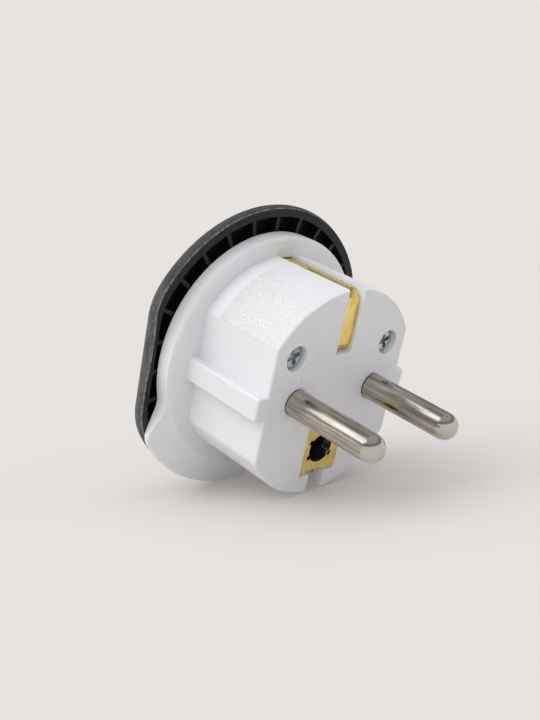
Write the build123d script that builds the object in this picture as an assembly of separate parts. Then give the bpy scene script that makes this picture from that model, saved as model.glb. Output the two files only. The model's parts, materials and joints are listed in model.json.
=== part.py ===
from build123d import *
from math import atan2, cos, degrees, radians, sin, sqrt
import os

# A two-pin plug adapter: a white rear shell with the plug body and its flange, a black ribbed front
# cover with the socket face, two round pins, two earth straps, a bridge that joins them, two spring
# contacts, two rivets and two screws. All sizes are in millimetres.
#
# Everything is built in the plug's own axes: X along the two pins, Y up the plug face and Z out along
# the pins, with the face at Z = 0 and the housing at negative Z. Each piece is then laid down as the
# adapter rests on a table, on its flange lobe and the lower edge of its face: +Z up, pins towards -Y.

# Pins
pin_diameter = 4.8
pin_length = 19.0
pin_spacing = 19.0
pin_hole_clearance = 0.05
pin_root_radius = 2.15
pin_root_rise = 0.2
pin_ring_depth = 0.3
pin_boss_wall = 1.8
pin_boss_length = 7.4
pin_collar_radius = 3.3
pin_collar_height = 1.2
pin_stake_radius = 1.5
pin_stake_head_radius = 2.2
pin_stake_head_height = 0.7
pin_stake_clearance = 0.02

# Plug body
body_radius = 19.1
body_flats = 32.4
body_corner_rounding = 1.5
body_depth = 17.5
body_wall = 1.8
face_thickness = 2.4
edge_rounding = 0.4
side_rib_reach = 2.1
side_rib_height = 4.2
side_rib_drop = 0.1
side_rib_rounding = 0.5

# Shoulder and flange
shoulder_radius = 21.7
shoulder_rounding = 0.9
flange_radius = 22.35
flange_thickness = 3.0
flange_wall = 1.9
shoulder_thickness = 1.5
lobe_radius = 27.1
lobe_edge_height = 0.8
lobe_half_angle = 59.5
neck_half_angle = 71.5
neck_rounding = 5.0
lobe_corner_rounding = 4.0
lobe_lip_rounding = 0.4

# Front cover
cover_radius = 27.25
cover_depth = 9.5
cover_skirt = 1.6
cover_skirt_draft = 26.0
cover_slope_angle = 52.0
cover_edge_rounding = 1.6
cover_face_rounding = 2.5
cover_plate = 1.8
cover_rim = 2.2
grip_rim = 1.8
ring_depth = 2.3
register_lip_height = 1.0
register_lip_wall = 0.9
register_gap = 0.1
contact_room_radius = 16.0
grip_flat_depth = 2.25
grip_rounding = 12.0
grip_scallop_radius = 60.0
grip_scallop_depth = 1.13
grip_scallop_height = 3.5
ring_rib_count = 27
ring_rib_thickness = 0.65
ring_rib_set_down = 0.15
ring_rib_root = 0.2
seat_ring_wall = 1.5
seat_ring_set_in = 0.3
face_dish_radius = 13.0
face_dish_depth = 0.6

# Cover screws
screw_half_spacing = 11.4
screw_height = 8.1
screw_recess_radius = 2.25
screw_head_radius = 2.1
screw_head_height = 1.3
screw_head_depth = 0.9
screw_shank_radius = 1.2
screw_shank_clearance = 0.05
screw_length = 21.0
screw_boss_wall = 1.4
screw_boss_split = 15.0
screw_head_rounding = 0.5
screw_slot_length = 3.0
screw_slot_width = 0.8
screw_slot_depth = 0.7
screw_slot_turn = 20
screw_pilot_depth = 1.0

# Earth straps and their channels
strap_thickness = 0.5
strap_gap = 0.15
strap_sink = 0.65
channel_width = 3.9
channel_depth = 1.85
channel_end_height = 7.5
channel_wall = 1.4
slit_set_in = 0.1
housing_set_in = 0.5
strap_fold = 1.3
strap_tab_bend = 0.4
strap_bend = 0.6
strap_end_drop = 2.4
strap_end_height = 8.3
strap_slit_ease = 0.3
recess_width = 9.1
lip_thickness = 3.6
recess_height = 10.1
plate_sink = 0.4
plate_seat_gap = 0.05
plate_set_in = 0.2
plate_joint = 2.0
tunnel_height = 0.85
tunnel_roof = 0.7
lip_gap = 4.0
bottom_strap_width = 3.6
earth_hole_rise = 4.8
earth_hole_radius = 2.75
earth_notch_width = 0.9
earth_notch_reach = 3.35
earth_notch_angle = 30
earth_seat_radius = 3.2
jaw_seat_reach = 3.65
jaw_seat_ease = 0.2
jaw_width = 2.4
jaw_root = 3.2
jaw_tip = 2.65
jaw_depth = 1.3
sleeve_wall = 0.4
sleeve_gap = 0.06
sleeve_slot_width = 4.2
sleeve_slot_ease = 0.3
face_line_width = 0.2
face_line_depth = 0.15
face_line_height = 6.85
face_line_bend = 1.4
face_line_foot = 2.6
face_line_lean = 0.4

# Earth bridge, rivets and fingers
bridge_width = 3.2
bridge_thickness = 0.6
bridge_set_down = 0.9
bridge_eye_radius = 4.6
socket_earth_height = 9.6
finger_width = 3.6
finger_length = 9.0
finger_pinch = 1.9
finger_foot = 0.4
finger_rise = 1.2
finger_flare = 2.0
finger_bends = (0.35, 1.5, 1.0)
bridge_end = 1.2
rivet_radius = 0.9
rivet_head_radius = 1.4
rivet_head_height = 0.4
strap_tab = 3.6
bridge_post_radius = 1.8
bridge_post_gap = 0.1
rivet_clearance = 0.02
rivet_setback = 1.2

# Socket face and spring contacts
socket_round_radius = 2.75
socket_slot_width = 2.2
socket_slot_height = 7.4
socket_slot_offset = 3.0
socket_earth_radius = 2.9
contact_thickness = 0.6
contact_width = 6.4
contact_base_half = 3.4
contact_pinch = 1.9
contact_mouth = 3.2
contact_mouth_gap = 0.3
contact_pinch_rise = 3.5
contact_base_rise = 2.5
contact_bends = (1.2, 2.5, 0.7)
partition_thickness = 0.9
partition_offset = 5.35

# Levels and limits worked out from the sizes above
seam = -body_depth - flange_thickness
cover_back = seam - cover_depth + cover_plate
cover_front = seam - cover_depth
flange_bore = flange_radius - flange_wall
pin_x = pin_spacing / 2
pin_radius = pin_diameter / 2
grip_half_width = cover_radius - grip_flat_depth
recess_bottom = lip_thickness - body_radius
recess_top = recess_bottom + recess_height
recess_depth = plate_sink + strap_thickness + plate_seat_gap
earth_hole_height = recess_bottom + earth_hole_rise
big = 4 * cover_radius


def at_z(shape, z):
    """Moves a shape that was drawn at Z = 0 to a level along the plug's axis."""
    return Pos(0, 0, z) * shape


def column(face, low, high):
    """A straight prism on a flat outline, between two levels."""
    return extrude(at_z(face, low), high - low, dir=(0, 0, 1))


def block(x_low, x_high, y_low, y_high, z_low, z_high):
    """A box between three pairs of limits."""
    centre = ((x_low + x_high) / 2, (y_low + y_high) / 2, (z_low + z_high) / 2)
    return Pos(*centre) * Box(x_high - x_low, y_high - y_low, z_high - z_low)


def post(x, y, radius, low, high):
    """A round post between two levels."""
    return Pos(x, y, (low + high) / 2) * Cylinder(radius, high - low)


def ribbon(path, thickness, width):
    """Bent strip: a path in the Y-Z plane given a sheet thickness, centred on X with a width."""
    band = trace(path, thickness)
    return extrude(Plane.YZ * band, width / 2, both=True)


def on_circle(radius, angle):
    """The point of a circle at an angle from +X, in degrees."""
    return (radius * cos(radians(angle)), radius * sin(radians(angle)))


def flatted_circle(radius, half_width, rounding):
    """A circle with a flat at each side and softened corners between them."""
    outline = Circle(radius) & Rectangle(2 * half_width, big)
    return fillet(outline.vertices(), rounding)


def plug_profile(inset=0.0):
    """Outline of the plug body: a circle with a flat at each side."""
    return flatted_circle(body_radius - inset, body_flats / 2 - inset, body_corner_rounding)


def side_rib_profile():
    """Both side ribs as one bar across the plug, with softened outer corners."""
    bar = Rectangle(body_flats + 2 * side_rib_reach, side_rib_height)
    return Pos(0, -side_rib_drop) * fillet(bar.vertices(), side_rib_rounding)


def flange_outline():
    """Circle over the top that sweeps out through a neck into the wide lower lobe."""
    neck_right = on_circle(flange_radius, -90 + neck_half_angle)
    neck_left = on_circle(flange_radius, -90 - neck_half_angle)
    lobe_right = on_circle(lobe_radius, -90 + lobe_half_angle)
    lobe_left = on_circle(lobe_radius, -90 - lobe_half_angle)
    edges = [
        ThreePointArc(neck_right, (0, flange_radius), neck_left),
        Line(neck_left, lobe_left),
        ThreePointArc(lobe_left, (0, -lobe_radius), lobe_right),
        Line(lobe_right, neck_right),
    ]
    outline = make_face(Wire(edges))
    neck = outline.vertices().sort_by(Axis.Y)[2:]
    outline = fillet(neck, neck_rounding)
    corners = outline.vertices().filter_by(lambda v: abs(v.Y - lobe_left[1]) < 0.01)
    return fillet(corners, lobe_corner_rounding)


def flange():
    """Shoulder plate whose edge slopes out to the lobe, trimmed to the flange's outline."""
    slope_foot = seam + lobe_edge_height
    section = Polyline(
        (0, seam), (lobe_radius, seam), (lobe_radius, slope_foot),
        (shoulder_radius, -body_depth), (0, -body_depth), close=True,
    )
    section = make_face(section)
    corner = section.vertices().sort_by_distance(Vertex(shoulder_radius, -body_depth, 0))[:1]
    section = fillet(corner, shoulder_rounding)
    lip = section.vertices().sort_by_distance(Vertex(lobe_radius, slope_foot, 0))[:1]
    section = fillet(lip, lobe_lip_rounding)
    cone = revolve(Plane.XZ * section, Axis.Z)
    return cone & column(flange_outline(), seam, 0)


def shell_outside():
    """The whole outer form of the rear shell before it is hollowed."""
    plug = column(plug_profile() + side_rib_profile(), -body_depth - 1, 0)
    front_edges = plug.faces().sort_by(Axis.Z)[-1].edges()
    plug = fillet(front_edges, edge_rounding)
    return plug + flange()


def shell_cavity():
    """The open inside of the plug body and of the flange."""
    inside = column(plug_profile(body_wall), seam, -face_thickness)
    bore = post(0, 0, flange_bore, seam, -body_depth - shoulder_thickness)
    return inside + bore


def channel_housings():
    """Thicker walls around the upper earth channel, the lower recess and its strap tunnel."""
    half = channel_width / 2 + channel_wall
    floor = body_radius - channel_depth
    roof = block(-half, half, floor - channel_wall, floor + 1, -body_depth, 0)
    front = block(-half, half, channel_end_height - channel_wall, floor, -channel_depth - channel_wall, 0)
    wide = recess_width / 2 + channel_wall
    tray = block(-wide, wide, recess_bottom - 1, recess_top + channel_wall, -recess_depth - channel_wall, 0)
    tunnel = bottom_strap_width / 2 + strap_gap + channel_wall
    top = recess_bottom + tunnel_height + tunnel_roof
    under = block(-tunnel, tunnel, recess_bottom - 1, top, -body_depth, 0)
    limits = column(plug_profile(housing_set_in), -body_depth, -housing_set_in)
    return (roof + front + tray + under) & limits


def channel_cuts():
    """Upper earth channel, its two slits, the lower recess, the strap tunnel and the gap in the lips."""
    half = channel_width / 2
    floor = body_radius - channel_depth
    roof = block(-half, half, floor, big, -body_depth, big)
    front = block(-half, half, channel_end_height, big, -channel_depth, big)
    slit_half = half - slit_set_in
    slit_low = strap_end_height - strap_thickness / 2 - strap_gap
    slit_high = strap_end_height + strap_thickness / 2 + strap_gap + strap_slit_ease
    end_slit = block(-slit_half, slit_half, slit_low, slit_high, -channel_depth - channel_wall - 1, 0)
    top_y = top_strap_level()
    back_low = top_y - strap_thickness / 2 - strap_gap
    back_high = top_y + strap_thickness / 2 + strap_gap
    back_slit = block(-slit_half, slit_half, back_low, back_high, seam, -body_depth + 1)
    wide = recess_width / 2
    tray = block(-wide, wide, recess_bottom, recess_top, -recess_depth, big)
    tunnel = bottom_strap_width / 2 + strap_gap
    tunnel_top = recess_bottom + tunnel_height
    under = block(-tunnel, tunnel, recess_bottom, tunnel_top, seam, 0)
    gap = block(-lip_gap / 2, lip_gap / 2, -body_radius - 1, recess_bottom + 0.1, -body_depth, big)
    return roof + front + end_slit + back_slit + tray + under + gap


def partitions():
    """Two upright walls that keep the live parts apart from the earth parts."""
    walls = Part()
    for side in (-1, 1):
        x = side * partition_offset
        wall = block(x - partition_thickness / 2, x + partition_thickness / 2, -big, big, -body_depth, -1)
        walls += wall
    return walls & column(plug_profile(body_wall / 2), -body_depth, -1)


def rear_shell():
    """White moulding: plug body, shoulder and flange, hollow, with bosses, channels and partitions."""
    shell = shell_outside() - shell_cavity()
    shell += channel_housings() + partitions()
    boss_radius = pin_radius + pin_boss_wall
    for side in (-1, 1):
        shell += post(side * pin_x, 0, boss_radius, -pin_boss_length, -1)
        screw_boss = screw_recess_radius + screw_boss_wall
        shell += post(side * screw_half_spacing, screw_height, screw_boss, -screw_boss_split, -1)
    shell -= channel_cuts()
    shell -= earth_seat()
    shell -= face_lines()
    for side in (-1, 1):
        shell -= post(side * pin_x, 0, pin_root_radius + pin_hole_clearance, -big, 1)
        shell -= post(side * pin_x, 0, pin_radius + pin_hole_clearance, -pin_ring_depth, 1)
        x = side * screw_half_spacing
        head_seat = -screw_head_depth - screw_head_height
        shell -= post(x, screw_height, screw_recess_radius, head_seat, 1)
        shell -= post(x, screw_height, screw_shank_radius + screw_shank_clearance, -big, 1)
    return shell


def earth_seat():
    """Opening in the floor of the lower recess, behind the earth-pin hole and its two jaws."""
    outline = Circle(earth_seat_radius)
    outline += Rectangle(2 * jaw_seat_reach, jaw_width + 2 * jaw_seat_ease)
    return Pos(0, earth_hole_height) * column(outline, -recess_depth - channel_wall - 1, 0)


def face_lines():
    """Fine groove across the plug's face and down to the left pin, as left by an insert in the mould."""
    start = screw_half_spacing - screw_recess_radius
    path = FilletPolyline(
        (start, face_line_height),
        (-start, face_line_height),
        (-pin_x, face_line_height - face_line_bend),
        (face_line_lean - pin_x, face_line_foot),
        radius=face_line_bend / 2,
    )
    return column(trace(path, face_line_width), -face_line_depth, face_line_depth)


def top_strap_level():
    """Height of the middle of the upper strap's long arm."""
    return body_radius - strap_sink - strap_thickness / 2


def bottom_strap_level():
    """Height of the middle of the lower strap's long arm."""
    return recess_bottom + strap_gap + strap_thickness / 2


def rivet_hole(y):
    """Cutter for a rivet's hole through a strap's tab."""
    low = bridge_level() - 1
    return post(0, y, rivet_radius + rivet_clearance, low, bridge_level() + strap_thickness + 1)


def bridge_level():
    """Level of the face of the bridge that the straps lie on."""
    return seam + bridge_set_down


def earth_strap_top():
    """Brass strap: tab on the bridge, long arm in the channel, folded corner, front arm, turned end."""
    top_y = top_strap_level()
    front_z = -strap_sink - strap_thickness / 2
    tab_z = bridge_level() + strap_thickness / 2
    path = FilletPolyline(
        (top_y - strap_tab, tab_z),
        (top_y, tab_z),
        (top_y, front_z - strap_fold),
        (top_y - strap_fold, front_z),
        (strap_end_height, front_z),
        (strap_end_height, front_z - strap_end_drop),
        radius=[strap_tab_bend, strap_bend, strap_bend, strap_bend],
    )
    strap = ribbon(path, strap_thickness, channel_width - 2 * strap_gap)
    return strap - rivet_hole(strap_joints()[0])


def earth_hole_outline():
    """Round earth-pin hole with four small notches that free a jaw at each side."""
    hole = Circle(earth_hole_radius)
    for turn in (earth_notch_angle, 180 - earth_notch_angle):
        hole += Rot(0, 0, turn) * Rectangle(2 * earth_notch_reach, earth_notch_width)
    return Pos(0, earth_hole_height) * hole


def earth_jaw(side):
    """Lip of the earth-pin hole bent back into the plug, so that it presses on the pin."""
    level = -plate_sink - strap_thickness / 2
    path = FilletPolyline(
        (side * (jaw_root + strap_thickness), level),
        (side * jaw_root, level),
        (side * (jaw_tip + strap_thickness / 2), level - jaw_depth),
        radius=[strap_tab_bend],
    )
    jaw = extrude(Plane.XZ * trace(path, strap_thickness), jaw_width / 2, both=True)
    return Pos(0, earth_hole_height, 0) * jaw


def earth_strap_bottom():
    """Brass strap: notched plate in the recess, bent back through the tunnel to its tab."""
    arm_y = bottom_strap_level()
    plate_z = -plate_sink - strap_thickness / 2
    tab_z = bridge_level() + strap_thickness / 2
    path = FilletPolyline(
        (arm_y + strap_tab, tab_z),
        (arm_y, tab_z),
        (arm_y, plate_z),
        (arm_y + plate_joint, plate_z),
        radius=[strap_tab_bend, strap_bend],
    )
    arm = ribbon(path, strap_thickness, bottom_strap_width)
    half = recess_width / 2 - strap_gap
    plate_low = arm_y + plate_set_in
    plate_back = -plate_sink - strap_thickness
    plate = block(-half, half, plate_low, recess_top - strap_gap, plate_back, -plate_sink)
    strap = arm + plate - column(earth_hole_outline(), -recess_depth - 1, 0)
    for side in (-1, 1):
        strap += earth_jaw(side)
    return strap - rivet_hole(strap_joints()[1])


def strap_joints():
    """Heights at which the two straps are riveted to the bridge."""
    top = top_strap_level() - strap_tab + rivet_setback
    bottom = bottom_strap_level() + strap_tab - rivet_setback
    return top, bottom


def earth_bridge():
    """Brass strip with an eye and two spring fingers that grip the socket's earth pin."""
    top, bottom = strap_joints()
    high = bridge_level()
    low = high - bridge_thickness
    outline = Pos(0, (top + bottom) / 2) * Rectangle(bridge_width, top - bottom + 2 * bridge_end)
    outline += Pos(0, socket_earth_height) * Circle(bridge_eye_radius)
    outline -= Pos(0, socket_earth_height) * Circle(socket_earth_radius)
    for y in (top, bottom):
        outline -= Pos(0, y) * Circle(rivet_radius + rivet_clearance)
    strip = column(outline, low, high)
    start = bridge_eye_radius - bridge_thickness / 2
    tip = high + finger_length
    for side in (-1, 1):
        path = FilletPolyline(
            (side * (start - finger_foot), low + bridge_thickness / 2),
            (side * start, low + bridge_thickness / 2),
            (side * start, high + finger_rise),
            (side * (finger_pinch + bridge_thickness / 2), tip - finger_flare),
            (side * (finger_pinch + finger_flare / 2), tip),
            radius=finger_bends,
        )
        finger = extrude(Plane.XZ * trace(path, bridge_thickness), finger_width / 2, both=True)
        strip += Pos(0, socket_earth_height, 0) * finger
    return strip


def earth_rivet(y):
    """Tubular-looking rivet with a head on the strap and a clinched head under the bridge."""
    high = bridge_level() + strap_thickness
    low = bridge_level() - bridge_thickness
    rivet = post(0, y, rivet_radius, low, high)
    rivet += post(0, y, rivet_head_radius, high, high + rivet_head_height)
    rivet += post(0, y, rivet_head_radius, low - rivet_head_height, low)
    return rivet


def contact_base_level():
    """Level of the pin-side face of the contact's base."""
    return -pin_boss_length - pin_collar_height


def pin(side):
    """Solid pin: domed tip, collar behind its boss and a staked end through the contact."""
    base = contact_base_level()
    under = base - contact_thickness
    profile = [
        Line((0, pin_length), (0, under - pin_stake_head_height)),
        Line((0, under - pin_stake_head_height), (pin_stake_head_radius, under - pin_stake_head_height)),
        Line((pin_stake_head_radius, under - pin_stake_head_height), (pin_stake_head_radius, under)),
        Line((pin_stake_head_radius, under), (pin_stake_radius, under)),
        Line((pin_stake_radius, under), (pin_stake_radius, base)),
        Line((pin_stake_radius, base), (pin_collar_radius, base)),
        Line((pin_collar_radius, base), (pin_collar_radius, -pin_boss_length)),
        Line((pin_collar_radius, -pin_boss_length), (pin_root_radius, -pin_boss_length)),
        Line((pin_root_radius, -pin_boss_length), (pin_root_radius, pin_root_rise)),
        Line((pin_root_radius, pin_root_rise), (pin_radius, pin_root_rise)),
        Line((pin_radius, pin_root_rise), (pin_radius, pin_length - pin_radius)),
        RadiusArc((pin_radius, pin_length - pin_radius), (0, pin_length), -pin_radius),
    ]
    solid = revolve(Plane.XZ * make_face(Wire(profile)), Axis.Z)
    return Pos(side * pin_x, 0, 0) * solid


def spring_contact(side):
    """Folded brass contact: a base staked to the pin and two jaws that pinch and flare at the mouth."""
    base = contact_base_level() - contact_thickness / 2
    mouth = cover_back + contact_mouth_gap
    pinch = contact_pinch + contact_thickness / 2
    pinch_level = mouth + contact_pinch_rise
    path = FilletPolyline(
        (contact_mouth, mouth),
        (pinch, pinch_level),
        (contact_base_half, base - contact_base_rise),
        (contact_base_half, base),
        (-contact_base_half, base),
        (-contact_base_half, base - contact_base_rise),
        (-pinch, pinch_level),
        (-contact_mouth, mouth),
        radius=contact_bends + contact_bends[::-1],
    )
    clip = ribbon(path, contact_thickness, contact_width)
    clip -= post(0, 0, pin_stake_radius + pin_stake_clearance, base - 1, base + 1)
    return Pos(side * pin_x, 0, 0) * clip


def cover_screw(side):
    """Pan-headed screw with a cross slot, its shank a plain cylinder at the thread's core."""
    top = -screw_head_depth
    seat = top - screw_head_height
    head = post(0, 0, screw_head_radius, seat, top)
    head = fillet(head.faces().sort_by(Axis.Z)[-1].edges(), screw_head_rounding)
    for turn in (0, 90):
        slot = Box(screw_slot_length, screw_slot_width, 2 * screw_slot_depth)
        head -= at_z(Rot(0, 0, turn + screw_slot_turn) * slot, top)
    shank = post(0, 0, screw_shank_radius, -screw_length, seat)
    return Pos(side * screw_half_spacing, screw_height, 0) * (head + shank)


def cover_outline():
    """Outline of the cover at its widest: a circle with a flat finger grip at each side."""
    return flatted_circle(cover_radius, grip_half_width, grip_rounding)


def ring_outline(inset=0.0):
    """Inner outline of the rim, thinner at the finger grips."""
    radius = cover_radius - cover_rim - inset
    half_width = grip_half_width - grip_rim - inset
    return flatted_circle(radius, half_width, grip_rounding - cover_rim)


def cover_outside():
    """The cover's solid outer form: drafted skirt, sloping front, flat face and scalloped finger grips."""
    widest = seam - cover_skirt
    skirt = extrude(at_z(cover_outline(), widest), cover_skirt, dir=(0, 0, 1), taper=cover_skirt_draft)
    depth = widest - cover_front
    slope = extrude(at_z(cover_outline(), widest), depth, dir=(0, 0, -1), taper=cover_slope_angle)
    body = skirt + slope
    body = fillet(body.faces().sort_by(Axis.Z)[0].edges(), cover_face_rounding)
    edge = body.edges().filter_by(lambda e: abs(e.center().Z - widest) < 0.01)
    body = fillet(edge, cover_edge_rounding)
    for side in (-1, 1):
        reach = grip_half_width - grip_scallop_depth + grip_scallop_radius
        cone = Cone(grip_scallop_radius - grip_scallop_depth, grip_scallop_radius, cover_skirt)
        body -= Pos(side * reach, grip_scallop_height, seam - cover_skirt / 2) * cone
    return body


def ring_ribs():
    """Radial ribs between the seat ring and the rim, one of them straight up."""
    ribs = Part()
    pitch = 360 / ring_rib_count
    inner = flange_bore
    length = cover_radius - inner
    low = seam - ring_depth - ring_rib_root
    half = ring_rib_thickness / 2
    rib = block(inner, inner + length, -half, half, low, seam - ring_rib_set_down)
    for index in range(ring_rib_count):
        ribs += Rot(0, 0, 90 + index * pitch) * rib
    return ribs & column(ring_outline(-ring_rib_root), low, seam)


def socket_apertures():
    """The holes of the socket face: two for the current pins and a round one for the earth pin."""
    holes = Pos(0, socket_earth_height) * Circle(socket_earth_radius)
    for side in (-1, 1):
        holes += Pos(side * pin_x, 0) * Circle(socket_round_radius)
        slot_x = side * (pin_x - socket_slot_offset)
        holes += Pos(slot_x, 0) * Rectangle(socket_slot_width, socket_slot_height)
    return column(holes, cover_front - 1, cover_back + 1)


def front_cover():
    """Black moulding: socket face, rim, ribbed ring, seat ring, screw bosses and bridge posts."""
    seat_outer = flange_radius - seat_ring_set_in
    seat_inner = seat_outer - seat_ring_wall
    body = cover_outside()
    ring = ring_outline() - Circle(seat_outer)
    body -= column(ring, seam - ring_depth, seam + 1)
    body += ring_ribs()
    body -= post(0, 0, seat_inner, seam - ring_depth, seam + 1)
    body -= post(0, 0, contact_room_radius, cover_back, seam)
    lip_outer = flange_bore - register_gap
    lip = Circle(lip_outer) - Circle(lip_outer - register_lip_wall)
    body += column(lip, seam - ring_depth, seam + register_lip_height)
    boss = screw_shank_radius + screw_shank_clearance + screw_boss_wall
    for side in (-1, 1):
        x = side * screw_half_spacing
        body += post(x, screw_height, boss, cover_back - 1, -screw_boss_split)
        pilot_end = -screw_length - screw_pilot_depth
        body -= post(x, screw_height, screw_shank_radius + screw_shank_clearance, pilot_end, 0)
    rivet_foot = bridge_level() - bridge_thickness - rivet_head_height
    for y in strap_joints():
        body += post(0, y, bridge_post_radius, cover_back - 1, rivet_foot - bridge_post_gap)
    body += earth_sleeve()
    body -= post(0, 0, face_dish_radius, cover_front - 1, cover_front + face_dish_depth)
    return body - socket_apertures()


def earth_sleeve():
    """Tube behind the plug's earth-pin hole, notched for the jaws and where the bridge crosses it."""
    radius = earth_seat_radius - sleeve_gap
    top = -plate_sink - strap_thickness - sleeve_gap
    sleeve = post(0, earth_hole_height, radius, cover_back - 1, top)
    sleeve -= post(0, earth_hole_height, radius - sleeve_wall, cover_back, 0)
    half = sleeve_slot_width / 2
    low = bridge_level() - bridge_thickness - rivet_head_height - sleeve_slot_ease
    high = bridge_level() + strap_thickness + rivet_head_height + sleeve_slot_ease
    sleeve -= block(-half, half, -big, big, low, high)
    reach = jaw_width / 2 + jaw_seat_ease
    jaw_low = -recess_depth - jaw_depth - sleeve_slot_ease
    return sleeve - block(-big, big, earth_hole_height - reach, earth_hole_height + reach, jaw_low, 0)


def resting_tilt():
    """Angle by which the pins point down when the lobe and the face's lower edge both touch the table."""
    face_edge = sqrt(body_radius ** 2 - (lip_gap / 2) ** 2)
    return degrees(atan2(lobe_radius - face_edge, body_depth + flange_thickness - lobe_edge_height / 2))


def build_pieces():
    """Every piece in the plug's own axes, by node name."""
    top_joint, bottom_joint = strap_joints()
    return {
        "rear_shell": rear_shell(),
        "front_cover": front_cover(),
        "pin_live": pin(-1),
        "pin_neutral": pin(1),
        "contact_live": spring_contact(-1),
        "contact_neutral": spring_contact(1),
        "earth_strap_top": earth_strap_top(),
        "earth_strap_bottom": earth_strap_bottom(),
        "earth_bridge": earth_bridge(),
        "earth_rivet_top": earth_rivet(top_joint),
        "earth_rivet_bottom": earth_rivet(bottom_joint),
        "cover_screw_left": cover_screw(-1),
        "cover_screw_right": cover_screw(1),
    }


def lay_down(pieces):
    """Turns the pieces into the resting pose and sets the bottom centre of their box at the origin."""
    turn = Rot(90 + resting_tilt(), 0, 0)
    turned_pieces = {name: turn * shape for name, shape in pieces.items()}
    box = Compound([shape for shape in turned_pieces.values()]).bounding_box()
    shift = Pos(-(box.min.X + box.max.X) / 2, -(box.min.Y + box.max.Y) / 2, -box.min.Z)
    return {name: shift * shape for name, shape in turned_pieces.items()}


os.makedirs("parts", exist_ok=True)
for name, shape in lay_down(build_pieces()).items():
    export_step(shape, f"parts/{name}.step")
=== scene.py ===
import json
import math

import bpy
from mathutils import Matrix, Vector

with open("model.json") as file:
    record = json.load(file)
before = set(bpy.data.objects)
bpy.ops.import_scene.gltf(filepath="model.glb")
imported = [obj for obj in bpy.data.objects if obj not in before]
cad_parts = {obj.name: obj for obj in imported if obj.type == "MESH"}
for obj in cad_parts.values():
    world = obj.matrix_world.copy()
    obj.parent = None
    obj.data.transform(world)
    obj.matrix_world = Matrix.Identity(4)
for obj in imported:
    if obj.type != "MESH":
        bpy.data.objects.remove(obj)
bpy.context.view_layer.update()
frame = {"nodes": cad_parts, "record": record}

# The scene is in metres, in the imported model's frame. Details on the object are placed in the
# plug's own axes, in millimetres: X along the two pins, Y up the plug's face and Z out along the
# pins, with the face at Z 0. Their turn and origin come from two mounts of the record: the pin's
# axis and the plug's face.
MM = 0.001
FACE_MOUNT_HEIGHT = 2.0

# The camera, with its place and directions in the plug's own axes. Lens and sensor are in
# millimetres, the near limit of its view in metres.
CAMERA_CENTRE = (-118.462, 63.021, 92.741)
CAMERA_RIGHT = (0.716808, 0.182110, 0.673069)
CAMERA_DOWN = (-0.132707, -0.912016, 0.388092)
CAMERA_AHEAD = (0.684525, -0.367509, -0.629573)
CAMERA_LENS = 47.624
CAMERA_SENSOR = 36.0
CAMERA_NEAR = 0.01

# The floor, with half its width in metres. It comes out as bright as the horizon, so no line
# parts them.
FLOOR_HALF = 30.0
FLOOR_COLOR = (0.579, 0.558, 0.540, 1.0)
FLOOR_GLOW = 0.14
FLOOR_ROUGHNESS = 0.9

# The studio. Heights go from 0 at the horizon to 1 straight up, and the soft box's edge is given
# by the cosine of the angle from its middle.
HORIZON_COLOR = (0.800, 0.768, 0.745, 1.0)
BAND_COLOR = (0.25, 0.25, 0.25, 1.0)
CEILING_COLOR = (0.43, 0.43, 0.44, 1.0)
SOFTBOX_COLOR = (1.75, 1.74, 1.72, 1.0)
BAND_HEIGHTS = (0.30, 0.40)
CEILING_HEIGHTS = (0.58, 0.74)
SOFTBOX_DIRECTION = (-0.50, 0.35, 0.79)
SOFTBOX_EDGE = (0.925, 0.96)

# Lamps: name, direction to the lamp, strength and spread in degrees.
LAMPS = (
    ("key", (-0.28, 0.12, 0.95), 1.78, 100.0),
    ("fill", (-0.88, -0.27, 0.40), 0.82, 80.0),
)

# Places on the object, in the plug's own axes.
PIN_HALF_SPACING = 9.5
PIN_RADIUS = 2.4
DOME_START = 16.6
SEAM = -20.5
RING_FLOOR = -22.8
COVER_GIRTH_RADIUS = 26.0
SKIRT_RADII = (21.5, 24.1)
GRIP_WIDTHS = (21.5, 24.0)
SEAM_RIM_INNER = 25.2
GRIP_RIM_INNER = 23.4
CREASE_HEIGHT = 9.8
FROST_REAR = -14.4
FROST_FRONT = -0.2
FROST_SIDE = -2.4
FROST_FADE = 7.0
GROOVE_DEPTH = 0.20
GROOVE_REACH = 9.9

# Tones of the materials. A pair is the darker and the lighter tone that noise mixes. On the pins'
# domes DOME_LEVEL stands for that noise.
WHITE_TONES = (0.72, 0.735, 0.765, 1), (0.755, 0.77, 0.80, 1)
FROST_TONE = (0.555, 0.565, 0.585, 1)
# Painted glints in the frosted patch.
PAINTED_GLINT_TONE = (0.89, 0.89, 0.90, 1)
# Painted light on the groove's walls.
GROOVE_PAINTED_LIGHT_TONE = (0.88, 0.89, 0.91, 1)
RIM_TONES = (0.009, 0.009, 0.010, 1), (0.022, 0.022, 0.024, 1)
FRONT_TONES = (0.036, 0.036, 0.038, 1), (0.043, 0.043, 0.045, 1)
# The skirt's grey: wear and painted sheen.
SKIRT_WEAR_AND_SHEEN_TONE = (0.125, 0.125, 0.13, 1)
# Nicks and a painted highlight along the skirt's edge.
EDGE_WEAR_AND_HIGHLIGHT_TONE = (0.26, 0.26, 0.27, 1)
# Painted shade in the ring's cavities.
RING_PAINTED_SHADE_TONE = (0.002, 0.002, 0.002, 1)
NICKEL_TONES = (0.36, 0.325, 0.27, 1), (0.62, 0.595, 0.54, 1)
NICKEL_LINE_TONE = (0.22, 0.185, 0.14, 1)
NICKEL_PIT_TONE = (0.25, 0.21, 0.17, 1)
DOME_LEVEL = 0.58
BRASS_TONES = (0.88, 0.66, 0.16, 1), (0.99, 0.82, 0.31, 1)
BRASS_LINE_TONE = (0.58, 0.39, 0.10, 1)
BRASS_SPECK_TONE = (0.10, 0.06, 0.02, 1)
ZINC_TONES = (0.32, 0.39, 0.41, 1), (0.80, 0.87, 0.88, 1)


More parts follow.
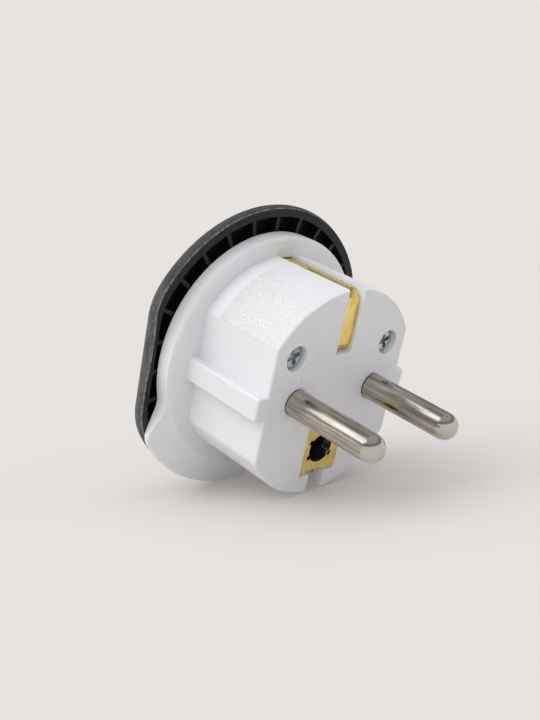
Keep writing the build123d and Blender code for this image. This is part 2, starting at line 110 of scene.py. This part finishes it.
def plug_axes():
    """Turn and origin (metres) of the plug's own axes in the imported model's frame."""
    mounts = {mount["name"]: mount for mount in frame["record"]["mounts"]}
    axis = mounts["pin_live"]["axis"]
    turn = math.atan2(-axis[1], axis[2])
    up = Vector((0, math.cos(turn), math.sin(turn)))
    return turn, Vector(mounts["plug_face"]["pos_m"]) - FACE_MOUNT_HEIGHT * MM * up


PLUG_TURN, PLUG_ORIGIN = plug_axes()


def set_input(tree, socket, value):
    """Links a socket to an input, or sets the input to a plain value."""
    if isinstance(value, bpy.types.NodeSocket):
        tree.links.new(value, socket)
    else:
        socket.default_value = value


def add(tree, kind, inputs=None, **settings):
    """Adds a node with its inputs and settings."""
    made = tree.nodes.new(kind)
    for name, value in settings.items():
        setattr(made, name, value)
    for name, value in (inputs or {}).items():
        set_input(tree, made.inputs[name], value)
    return made


def calc(tree, operation, *values):
    """One sum on numbers or sockets."""
    return add(tree, "ShaderNodeMath", dict(enumerate(values)), operation=operation).outputs[0]


def times(tree, first, *others):
    """The product of numbers or sockets."""
    for other in others:
        first = calc(tree, "MULTIPLY", first, other)
    return first


def dot(tree, vector, direction):
    """How far a vector goes along a fixed direction."""
    inputs = {0: vector, 1: direction}
    return add(tree, "ShaderNodeVectorMath", inputs, operation="DOT_PRODUCT").outputs["Value"]


def ramp(tree, value, low, high, out_low=0.0, out_high=1.0):
    """A smooth step of a value from one level to another."""
    inputs = {"Value": value, "From Min": low, "From Max": high}
    inputs |= {"To Min": out_low, "To Max": out_high}
    return add(tree, "ShaderNodeMapRange", inputs, interpolation_type="SMOOTHSTEP").outputs[0]


def blend(tree, factor, first, second):
    """Mixes two colours."""
    mixer = add(tree, "ShaderNodeMix", {"Factor": factor, 6: first, 7: second}, data_type="RGBA")
    return mixer.outputs[2]


def plug_space(tree):
    """The surface point in the plug's own axes, in millimetres."""
    place = add(tree, "ShaderNodeTexCoord").outputs["Object"]
    shift = -(Matrix.Rotation(-PLUG_TURN, 3, "X") @ PLUG_ORIGIN) / MM
    scale = (1 / MM, 1 / MM, 1 / MM)
    inputs = {"Vector": place, "Location": shift, "Rotation": (-PLUG_TURN, 0, 0), "Scale": scale}
    return add(tree, "ShaderNodeMapping", inputs).outputs[0]


def stretch(tree, vector, scale):
    """Scales a vector, for grain that is longer one way than another."""
    return add(tree, "ShaderNodeMapping", {"Vector": vector, "Scale": scale}).outputs[0]


def noise(tree, vector, scale, detail, roughness, distortion=0.0):
    """A noise value from 0 to 1, with its scale per millimetre."""
    inputs = {"Vector": vector, "Scale": scale, "Detail": detail}
    inputs |= {"Roughness": roughness, "Distortion": distortion}
    return add(tree, "ShaderNodeTexNoise", inputs).outputs[0]


def parts_of(tree, vector):
    """The three numbers of a vector."""
    return add(tree, "ShaderNodeSeparateXYZ", {"Vector": vector}).outputs


def bump(tree, height, strength, distance, normal=None):
    """Fine relief from a height, over the relief of a normal. The distance is in millimetres."""
    inputs = {"Height": height, "Strength": strength, "Distance": distance * MM}
    if normal is not None:
        inputs["Normal"] = normal
    return add(tree, "ShaderNodeBump", inputs).outputs[0]


def start_material(name):
    """A material with one Principled shader, its tree and the shader."""
    made = bpy.data.materials.new(name)
    made.use_nodes = True
    tree = made.node_tree
    tree.nodes.clear()
    shader = add(tree, "ShaderNodeBsdfPrincipled")
    add(tree, "ShaderNodeOutputMaterial", {"Surface": shader.outputs[0]})
    return made, tree, shader


def wire(tree, shader, **inputs):
    """Links or sets the shader's inputs by name, with underscores for spaces."""
    for name, value in inputs.items():
        set_input(tree, shader.inputs[name.replace("_", " ")], value)


def around(tree, x, y, z, radius):
    """Surface point unrolled about the Z axis: its distance out, and the unrolled vector."""
    out = calc(tree, "SQRT", calc(tree, "ADD", times(tree, x, x), times(tree, y, y)))
    turn = times(tree, calc(tree, "ARCTAN2", y, x), radius)
    return out, add(tree, "ShaderNodeCombineXYZ", {"X": out, "Y": turn, "Z": z}).outputs[0]


def white_plastic():
    """Moulded white plastic with a cool tone, faint clouding, soft gloss and one frosted patch."""
    made, tree, shader = start_material("white_plastic_look")
    point = plug_space(tree)
    x, y, z = parts_of(tree, point)
    clouds = noise(tree, point, 0.09, 4.0, 0.6)
    waves = noise(tree, point, 0.35, 3.0, 0.5)
    fine = noise(tree, point, 2.2, 2.0, 0.6)
    grain = noise(tree, point, 5.0, 1.5, 0.6)
    tone = blend(tree, ramp(tree, clouds, 0.3, 0.7), *WHITE_TONES)

    # The frosted patch lies left of the channel, above the crease, and fades toward the channel.
    above = ramp(tree, y, CREASE_HEIGHT, CREASE_HEIGHT + 0.3)
    left = ramp(tree, x, FROST_SIDE, FROST_SIDE - 0.3)
    rear = ramp(tree, z, FROST_REAR, FROST_REAR + 0.25)
    front = ramp(tree, z, FROST_FRONT, FROST_FRONT - 0.3)
    fade = ramp(tree, x, FROST_SIDE, FROST_SIDE - FROST_FADE, 0.35, 1.0)
    cloudy = ramp(tree, clouds, 0.3, 0.6, 0.6, 1.0)
    frost = times(tree, left, above, rear, front, fade, cloudy)
    # Light specks in the frost are painted glints.
    painted_glints = times(tree, ramp(tree, grain, 0.46, 0.62), frost)
    tone = blend(tree, times(tree, frost, 0.75), tone, FROST_TONE)
    tone = blend(tree, times(tree, painted_glints, 0.65), tone, PAINTED_GLINT_TONE)

    # The walls of the fine groove, just under the face, take a lighter tone: painted light that
    # lifts the groove's shade.
    within = calc(tree, "LESS_THAN", calc(tree, "ABSOLUTE", x), GROOVE_REACH)
    groove = times(tree, ramp(tree, z, -0.02, -0.05),
                   ramp(tree, z, -GROOVE_DEPTH, 0.03 - GROOVE_DEPTH), within)
    tone = blend(tree, groove, tone, GROOVE_PAINTED_LIGHT_TONE)

    gloss = calc(tree, "ADD", ramp(tree, fine, 0.3, 0.7, 0.34, 0.42), times(tree, frost, 0.10))
    relief = bump(tree, waves, 0.25, 0.12)
    relief = bump(tree, fine, 0.12, 0.03, relief)
    relief = bump(tree, times(tree, grain, frost), 0.6, 0.08, relief)
    wire(tree, shader, Base_Color=tone, Roughness=gloss, Normal=relief, IOR=1.48)
    return made


def black_plastic():
    """Moulded black plastic: dark rim, ring cavities painted near-black as shade, grey front, and
    a streaked, worn skirt partly lightened by painted sheen.
    """
    made, tree, shader = start_material("black_plastic_look")
    point = plug_space(tree)
    x, y, z = parts_of(tree, point)
    out, unrolled = around(tree, x, y, z, COVER_GIRTH_RADIUS)
    aside = calc(tree, "ABSOLUTE", x)
    mottle = noise(tree, point, 0.7, 5.0, 0.65)
    grain = noise(tree, point, 4.0, 2.0, 0.6)
    streak = noise(tree, stretch(tree, unrolled, (2.2, 0.22, 2.2)), 1.6, 4.0, 0.65, 0.4)
    nick = noise(tree, stretch(tree, unrolled, (1.0, 0.8, 1.0)), 1.5, 3.0, 0.7)
    normal = add(tree, "ShaderNodeNewGeometry").outputs["Normal"]
    forward = dot(tree, normal, (0, -math.sin(PLUG_TURN), math.cos(PLUG_TURN)))

    # Where the skirt, its worn edge and the ring's cavities are. The skirt and its edge carry wear
    # and painted sheen, the cavities painted shade.
    skirt = times(tree, ramp(tree, forward, 0.8, 0.6), ramp(tree, z, SEAM - 6.5, SEAM - 1.2),
                  ramp(tree, out, *SKIRT_RADII))
    edge = times(tree, skirt, ramp(tree, z, SEAM - 0.34, SEAM - 0.08))
    deep_shade = times(tree, ramp(tree, z, SEAM - 0.12, SEAM - 0.4),
                 ramp(tree, out, SEAM_RIM_INNER, SEAM_RIM_INNER - 0.2),
                 ramp(tree, aside, GRIP_RIM_INNER, GRIP_RIM_INNER - 0.1),
                 ramp(tree, z, RING_FLOOR - 0.6, RING_FLOOR - 0.2))

    mix = ramp(tree, mottle, 0.35, 0.7)
    front = blend(tree, mix, *FRONT_TONES)
    tone = blend(tree, ramp(tree, z, SEAM - 0.9, SEAM - 2.4), blend(tree, mix, *RIM_TONES), front)
    # The skirt's lighter grey is partly rubbing at the grips and partly painted sheen on the side
    # wall.
    grip = ramp(tree, aside, *GRIP_WIDTHS, 0.55, 1.0)
    rubbed_and_sheen = times(tree, grip, ramp(tree, streak, 0.35, 0.65, 0.45, 1.0))
    tone = blend(tree, times(tree, skirt, rubbed_and_sheen), tone, SKIRT_WEAR_AND_SHEEN_TONE)
    # A light line along the skirt's edge: nicks, and a painted edge highlight.
    tone = blend(tree, times(tree, edge, ramp(tree, nick, 0.35, 0.70)), tone, EDGE_WEAR_AND_HIGHLIGHT_TONE)
    # The ring's cavities are painted near-black: painted shade.
    tone = blend(tree, deep_shade, tone, RING_PAINTED_SHADE_TONE)

    gloss = calc(tree, "ADD", ramp(tree, mottle, 0.3, 0.7, 0.45, 0.60), times(tree, deep_shade, 0.3))
    relief = bump(tree, mottle, 0.15, 0.08)
    relief = bump(tree, times(tree, streak, skirt), 0.6, 0.12, relief)
    relief = bump(tree, grain, 0.25, 0.04, relief)
    wire(tree, shader, Base_Color=tone, Roughness=gloss, Normal=relief)
    wire(tree, shader, IOR=1.45, Specular_IOR_Level=0.3)
    return made


def nickel():
    """Nickel-plated pin: fine lines along it, brown-grey bands, small pits and a polished dome."""
    made, tree, shader = start_material("nickel_look")
    point = plug_space(tree)
    x, y, z = parts_of(tree, point)
    across = calc(tree, "SUBTRACT", calc(tree, "ABSOLUTE", x), PIN_HALF_SPACING)
    unrolled = around(tree, across, y, z, PIN_RADIUS)[1]
    shaft = ramp(tree, z, DOME_START + 0.1, DOME_START - 0.1)
    lines = noise(tree, stretch(tree, unrolled, (0.0, 1.0, 0.016)), 8.0, 3.0, 0.6)
    bands = noise(tree, stretch(tree, unrolled, (0.0, 1.0, 0.05)), 1.1, 3.0, 0.55, 0.2)
    pits = noise(tree, point, 2.6, 2.0, 0.5)

    # The dome has no lines, and one even tone.
    lines = times(tree, lines, shaft)
    dome = times(tree, calc(tree, "SUBTRACT", 1.0, shaft), DOME_LEVEL)
    bands = calc(tree, "ADD", times(tree, bands, shaft), dome)

    tone = blend(tree, ramp(tree, bands, 0.35, 0.65), *NICKEL_TONES)
    tone = blend(tree, times(tree, ramp(tree, lines, 0.50, 0.60), 0.6), tone, NICKEL_LINE_TONE)
    tone = blend(tree, ramp(tree, pits, 0.70, 0.76), tone, NICKEL_PIT_TONE)
    worn = times(tree, shaft, ramp(tree, lines, 0.3, 0.7, 0.00, 0.07))
    gloss = calc(tree, "ADD", worn, ramp(tree, pits, 0.6, 0.8, 0.10, 0.22))
    relief = bump(tree, lines, 0.35, 0.05)
    relief = bump(tree, pits, 0.10, 0.02, relief)
    wire(tree, shader, Base_Color=tone, Metallic=1.0, Roughness=gloss, Normal=relief)
    return made


def brass():
    """Rolled brass strip: lines along the strip, dull and bright patches and a few dark specks."""
    made, tree, shader = start_material("brass_look")
    point = plug_space(tree)
    lines = noise(tree, stretch(tree, point, (1.0, 0.04, 0.04)), 6.0, 3.0, 0.6)
    patch = noise(tree, point, 0.25, 3.0, 0.55)
    specks = noise(tree, point, 2.4, 1.0, 0.5)
    tone = blend(tree, ramp(tree, patch, 0.35, 0.65), *BRASS_TONES)
    tone = blend(tree, times(tree, ramp(tree, lines, 0.48, 0.62), 0.45), tone, BRASS_LINE_TONE)
    tone = blend(tree, ramp(tree, specks, 0.755, 0.775), tone, BRASS_SPECK_TONE)
    gloss = ramp(tree, patch, 0.3, 0.7, 0.22, 0.34)
    relief = bump(tree, lines, 0.25, 0.03)
    wire(tree, shader, Base_Color=tone, Metallic=1.0, Roughness=gloss, Normal=relief)
    return made


def zinc():
    """Zinc-plated screw: slightly blue, with fine tool marks."""
    made, tree, shader = start_material("zinc_look")
    point = plug_space(tree)
    marks = noise(tree, stretch(tree, point, (1.0, 3.0, 1.0)), 3.0, 3.0, 0.6)
    tone = blend(tree, ramp(tree, marks, 0.35, 0.7), *ZINC_TONES)
    gloss = ramp(tree, marks, 0.3, 0.7, 0.12, 0.26)
    relief = bump(tree, marks, 0.3, 0.05)
    wire(tree, shader, Base_Color=tone, Metallic=1.0, Roughness=gloss, Normal=relief)
    return made


def dress(names, made):
    """Gives CAD nodes a material in place of their plain one."""
    for name in names:
        slots = frame["nodes"][name].data.materials
        slots.clear()
        slots.append(made)


def make_floor():
    """A plain pale floor that runs out to the horizon. Its faint glow lightens the shadow."""
    made, tree, shader = start_material("floor_look")
    wire(tree, shader, Base_Color=FLOOR_COLOR, Roughness=FLOOR_ROUGHNESS, Specular_IOR_Level=0.0,
         Emission_Color=HORIZON_COLOR, Emission_Strength=FLOOR_GLOW)
    corners = [(-1, -1), (1, -1), (1, 1), (-1, 1)]
    mesh = bpy.data.meshes.new("floor")
    mesh.from_pydata([(a * FLOOR_HALF, b * FLOOR_HALF, 0) for a, b in corners], [], [(0, 1, 2, 3)])
    mesh.materials.append(made)
    floor = bpy.data.objects.new("floor", mesh)
    bpy.context.scene.collection.objects.link(floor)


def make_light():
    """A studio dome with a soft box in its ceiling, and wide lamps that reflections leave out."""
    world = bpy.data.worlds.new("studio")
    world.use_nodes = True
    tree = world.node_tree
    tree.nodes.clear()
    direction = add(tree, "ShaderNodeTexCoord").outputs["Generated"]
    height = parts_of(tree, direction)[2]
    dome = blend(tree, ramp(tree, height, *BAND_HEIGHTS), HORIZON_COLOR, BAND_COLOR)
    dome = blend(tree, ramp(tree, height, *CEILING_HEIGHTS), dome, CEILING_COLOR)
    toward = dot(tree, direction, SOFTBOX_DIRECTION)
    dome = blend(tree, ramp(tree, toward, *SOFTBOX_EDGE), dome, SOFTBOX_COLOR)
    sky = add(tree, "ShaderNodeBackground", {"Color": dome})
    add(tree, "ShaderNodeOutputWorld", {"Surface": sky.outputs[0]})
    bpy.context.scene.world = world
    for name, source, strength, spread in LAMPS:
        light = bpy.data.lights.new(name, "SUN")
        light.energy = strength
        light.angle = math.radians(spread)
        lamp = bpy.data.objects.new(name, light)
        lamp.rotation_euler = Vector(source).to_track_quat("Z", "Y").to_euler()
        lamp.visible_glossy = False
        bpy.context.scene.collection.objects.link(lamp)


def make_camera():
    """The camera at the photograph's place, given in the plug's own axes."""
    data = bpy.data.cameras.new("camera")
    data.sensor_width = CAMERA_SENSOR
    data.lens = CAMERA_LENS
    data.clip_start = CAMERA_NEAR
    data.clip_end = 4 * FLOOR_HALF
    camera = bpy.data.objects.new("camera", data)
    axes = [Vector(CAMERA_RIGHT), -Vector(CAMERA_DOWN), -Vector(CAMERA_AHEAD)]
    turn = Matrix.Rotation(PLUG_TURN, 3, "X")
    camera.rotation_euler = (turn @ Matrix(axes).transposed()).to_euler()
    camera.location = turn @ Vector(CAMERA_CENTRE) * MM + PLUG_ORIGIN
    bpy.context.scene.collection.objects.link(camera)
    bpy.context.scene.camera = camera


bpy.context.scene.view_settings.view_transform = "Standard"
make_camera()
make_floor()
make_light()
dress(["rear_shell"], white_plastic())
dress(["front_cover"], black_plastic())
dress(["pin_live", "pin_neutral"], nickel())
dress(["earth_strap_top", "earth_strap_bottom", "earth_bridge", "earth_rivet_top",
       "earth_rivet_bottom", "contact_live", "contact_neutral"], brass())
dress(["cover_screw_left", "cover_screw_right"], zinc())
